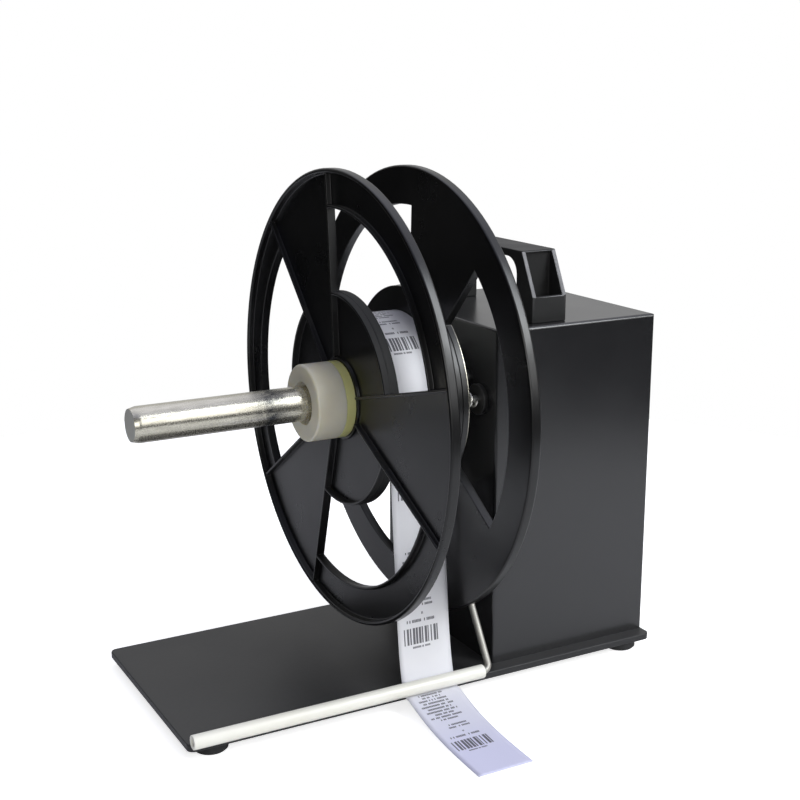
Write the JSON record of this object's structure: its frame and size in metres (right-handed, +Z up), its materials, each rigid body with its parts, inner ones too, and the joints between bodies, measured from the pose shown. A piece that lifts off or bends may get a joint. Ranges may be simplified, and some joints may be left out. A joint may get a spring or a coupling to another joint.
{
  "type": "label rewinder",
  "caption": "Bench label rewinder: motor box on a base plate, spindle with spoked reel flanges and lock collar, label roll, and a swinging guide arm with a turning sleeve.",
  "frame": {"origin": "under the middle of the object's bounding box, on the floor plane under the rubber feet", "axes": "+X along the spindle from its free end towards the motor box, +Y from the tape's free end to the back of the box, +Z up"},
  "size_m": [0.2984, 0.286, 0.292],
  "materials": {
    "box_paint": "satin black powder paint",
    "base_paint": "matt black powder paint",
    "foot_rubber": "matt",
    "flange_plastic": "satin moulded",
    "handle_plastic": "satin moulded",
    "plated_steel": "zinc plated, slightly streaked",
    "screw_steel": "zinc plated",
    "black_steel": "blackened",
    "bearing_steel": "ground",
    "cast_alloy": "turned",
    "gear_case": "matt",
    "motor_steel": "plated",
    "nylon_white": "milky, slightly see-through",
    "grip_yellow": "soft",
    "sleeve_plastic": "smooth",
    "adapter_plastic": "moulded",
    "core_card": "plain",
    "label_paper": "coated, matt",
    "black_plastic": "moulded",
    "rocker_red": "moulded",
    "board_green": "coated board",
    "board_mixed": "assorted components",
    "standoff_brass": "turned"
  },
  "bodies": {
    "frame": {"base_plate": "base_paint", "rubber_feet": "foot_rubber", "foot_screws": "screw_steel", "housing_shell": "box_paint", "housing_screws": "screw_steel", "carry_handle": "handle_plastic", "handle_screws": "screw_steel", "bearing_housing": "cast_alloy", "spindle_bearings": "bearing_steel", "bearing_spacer": "cast_alloy", "bearing_screws": "screw_steel", "motor_pillars": "cast_alloy", "motor_plate": "cast_alloy", "gearbox": "gear_case", "gearbox_screws": "screw_steel", "motor_can": "motor_steel", "arm_spacer": "nylon_white", "arm_clip": "black_steel", "stop_post": "screw_steel", "stop_spring": "plated_steel", "stop_washer": "black_plastic", "stop_nut": "screw_steel", "arm_switch": "black_plastic", "arm_switch_screws": "screw_steel", "control_board": "board_green", "board_parts": "board_mixed", "board_standoffs": "standoff_brass", "board_screws": "screw_steel", "power_inlet": "black_plastic", "inlet_nut": "screw_steel", "switch_body": "black_plastic", "speed_pot": "motor_steel", "pot_nut": "screw_steel", "label_strip": "label_paper"},
    "spindle": {"spindle_shaft": "plated_steel", "output_shaft": "bearing_steel", "shaft_set_screws": "black_steel", "rear_flange": "flange_plastic", "flange_screws": "black_steel", "core_adapter": "adapter_plastic", "paper_core": "core_card", "label_roll": "label_paper"},
    "front_reel": {"front_flange": "flange_plastic"},
    "lock": {"lock_collar": "nylon_white", "grip_ring": "grip_yellow"},
    "arm": {"arm_hub": "black_steel", "arm_rod": "plated_steel", "arm_set_screw": "black_steel", "trip_pin": "screw_steel"},
    "sleeve": {"guide_sleeve": "sleeve_plastic"},
    "rocker": {"switch_rocker": "rocker_red"},
    "knob": {"speed_knob": "black_plastic", "pot_shaft": "screw_steel"}
  },
  "joints": [
    {"name": "spindle_spin", "type": "hinge", "parent": "frame", "child": "spindle", "pos_m": [0, 0.013, 0.162], "axis": [1, 0, 0], "continuous": true},
    {"name": "front_flange_slide", "type": "slide", "parent": "spindle", "child": "front_reel", "axis": [-1, 0, 0], "range_m": [0, 0.075]},
    {"name": "lock_collar_slide", "type": "slide", "parent": "front_reel", "child": "lock", "axis": [-1, 0, 0], "range_m": [0, 0.018]},
    {"name": "arm_swing", "type": "hinge", "parent": "frame", "child": "arm", "pos_m": [0, 0.013, 0.162], "axis": [-1, 0, 0], "range_deg": [0, 67]},
    {"name": "sleeve_spin", "type": "hinge", "parent": "arm", "child": "sleeve", "pos_m": [0, -0.063, 0.0131], "axis": [1, 0, 0], "continuous": true},
    {"name": "direction_rocker", "type": "hinge", "parent": "frame", "child": "rocker", "pos_m": [0.0702, 0.0745, 0.055], "axis": [1, 0, 0], "range_deg": [-12, 12]},
    {"name": "speed_turn", "type": "hinge", "parent": "frame", "child": "knob", "pos_m": [0.1022, 0.076, 0.055], "axis": [0, 1, 0], "range_deg": [0, 280]}
  ]
}
